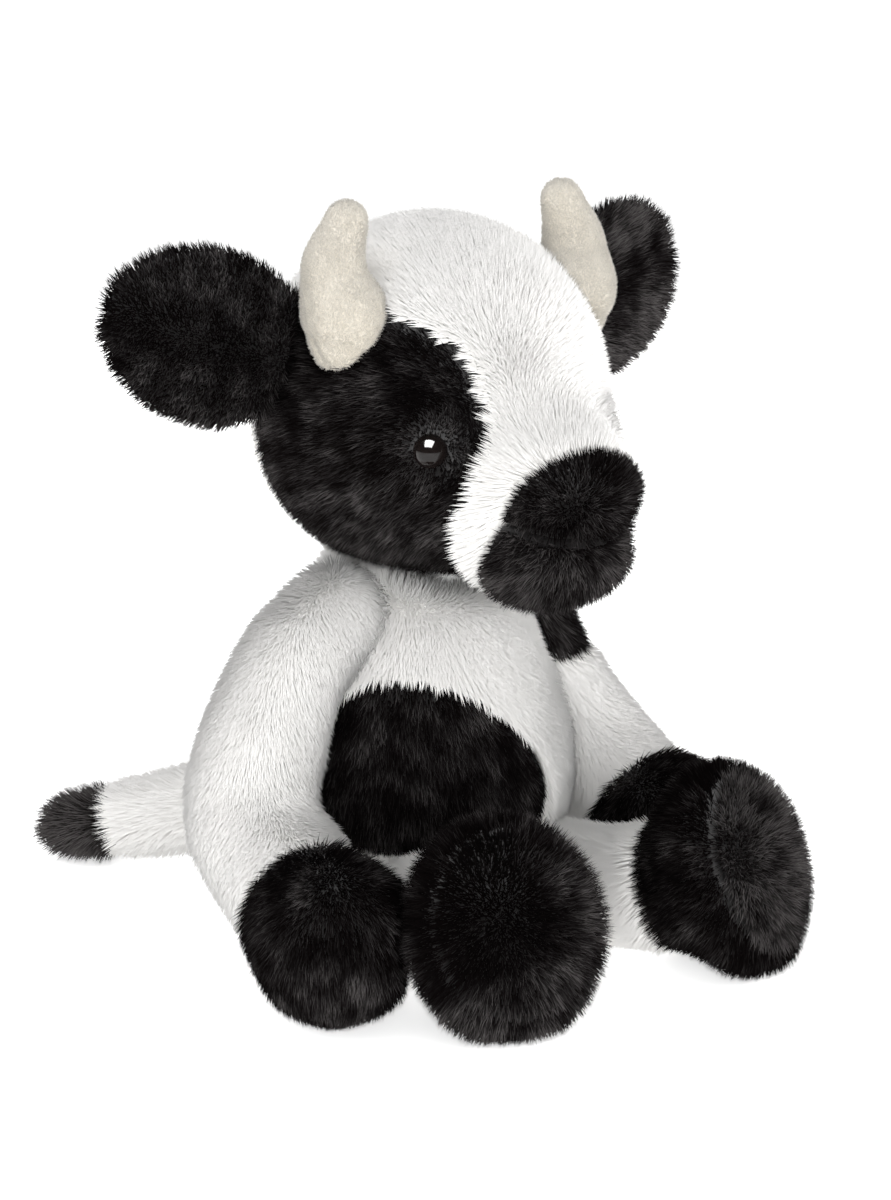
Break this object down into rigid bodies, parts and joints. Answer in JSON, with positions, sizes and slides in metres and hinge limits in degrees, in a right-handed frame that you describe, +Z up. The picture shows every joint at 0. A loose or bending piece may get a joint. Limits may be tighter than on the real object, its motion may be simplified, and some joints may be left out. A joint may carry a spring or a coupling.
{
  "type": "plush cow",
  "caption": "Seated plush cow with stuffed torso, turning and nodding head, hinged arms and legs, flopping ears, cream horns and a black-tipped tail.",
  "frame": {"origin": "on the floor, at the middle of the flat seat", "axes": "+Z up; the cow faces -Y; its own right side is -X"},
  "size_m": [0.2564, 0.2861, 0.2704],
  "materials": {
    "white_pile": "long soft pile",
    "black_pile": "long soft pile",
    "cream_suede": "short velvety pile",
    "eye_plastic": "polished",
    "washer_plastic": "moulded",
    "stuffing": "loose polyester fibre",
    "pellet_cloth": "plain woven"
  },
  "bodies": {
    "torso": {"chest_and_belly": "white_pile", "back_panel": "white_pile", "seat_panel": "white_pile", "belly_patch": "black_pile", "torso_stuffing": "stuffing", "pellet_pouch": "pellet_cloth"},
    "neck": {"neck_stuffing": "stuffing"},
    "head": {"head_panel": "white_pile", "eye_patch": "black_pile", "nose_panel": "black_pile", "chin_panel": "black_pile", "head_stuffing": "stuffing", "eye_right": "eye_plastic", "eye_left": "eye_plastic", "eye_right_washer": "washer_plastic", "eye_left_washer": "washer_plastic", "horn_right": "cream_suede", "horn_right_stuffing": "stuffing", "horn_left": "cream_suede", "horn_left_stuffing": "stuffing"},
    "ear_right": {"ear_right_front": "black_pile", "ear_right_back": "black_pile"},
    "ear_left": {"ear_left_front": "black_pile", "ear_left_back": "black_pile"},
    "arm_right": {"arm_right_sleeve": "white_pile", "arm_right_paw": "black_pile", "arm_right_stuffing": "stuffing"},
    "arm_left": {"arm_left_shoulder": "black_pile", "arm_left_sleeve": "white_pile", "arm_left_paw": "black_pile", "arm_left_stuffing": "stuffing"},
    "leg_right": {"leg_right_sleeve": "white_pile", "leg_right_foot": "black_pile", "leg_right_sole": "black_pile", "leg_right_stuffing": "stuffing"},
    "leg_left": {"leg_left_sleeve": "white_pile", "leg_left_foot": "black_pile", "leg_left_sole": "black_pile", "leg_left_stuffing": "stuffing"},
    "tail": {"tail_root": "white_pile", "tail_tip": "black_pile"}
  },
  "joints": [
    {"name": "head_turn", "type": "hinge", "parent": "torso", "child": "neck", "pos_m": [0, -0.012, 0.128], "axis": [0, 0, 1], "range_deg": [-30, 30], "stiffness_Nm_per_rad": 0.3},
    {"name": "head_nod", "type": "hinge", "parent": "neck", "child": "head", "pos_m": [0, -0.012, 0.128], "axis": [1, 0, 0], "range_deg": [-8, 12], "stiffness_Nm_per_rad": 1.2},
    {"name": "arm_raise_right", "type": "hinge", "parent": "torso", "child": "arm_right", "pos_m": [-0.033, -0.015, 0.134], "axis": [0, 1, 0], "range_deg": [0, 30], "stiffness_Nm_per_rad": 0.05},
    {"name": "arm_raise_left", "type": "hinge", "parent": "torso", "child": "arm_left", "pos_m": [0.033, -0.015, 0.134], "axis": [0, -1, 0], "range_deg": [0, 30], "stiffness_Nm_per_rad": 0.05},
    {"name": "leg_lift_right", "type": "hinge", "parent": "torso", "child": "leg_right", "pos_m": [-0.027, -0.041, 0.042], "axis": [-0.9511, 0.309, 0], "range_deg": [0, 30], "stiffness_Nm_per_rad": 0.05},
    {"name": "leg_lift_left", "type": "hinge", "parent": "torso", "child": "leg_left", "pos_m": [0.027, -0.041, 0.042], "axis": [-0.9397, -0.342, 0], "range_deg": [0, 30], "stiffness_Nm_per_rad": 0.05},
    {"name": "ear_flop_right", "type": "hinge", "parent": "head", "child": "ear_right", "pos_m": [-0.05997, -0.0097, 0.2139], "axis": [0, 1, 0], "range_deg": [-25, 15], "stiffness_Nm_per_rad": 0.1},
    {"name": "ear_flop_left", "type": "hinge", "parent": "head", "child": "ear_left", "pos_m": [0.05997, -0.0097, 0.2139], "axis": [0, -1, 0], "range_deg": [-25, 15], "stiffness_Nm_per_rad": 0.1},
    {"name": "tail_wag", "type": "hinge", "parent": "torso", "child": "tail", "pos_m": [0, 0.0563, 0.03722], "axis": [0, 0, 1], "range_deg": [-35, 35], "stiffness_Nm_per_rad": 0.02}
  ]
}
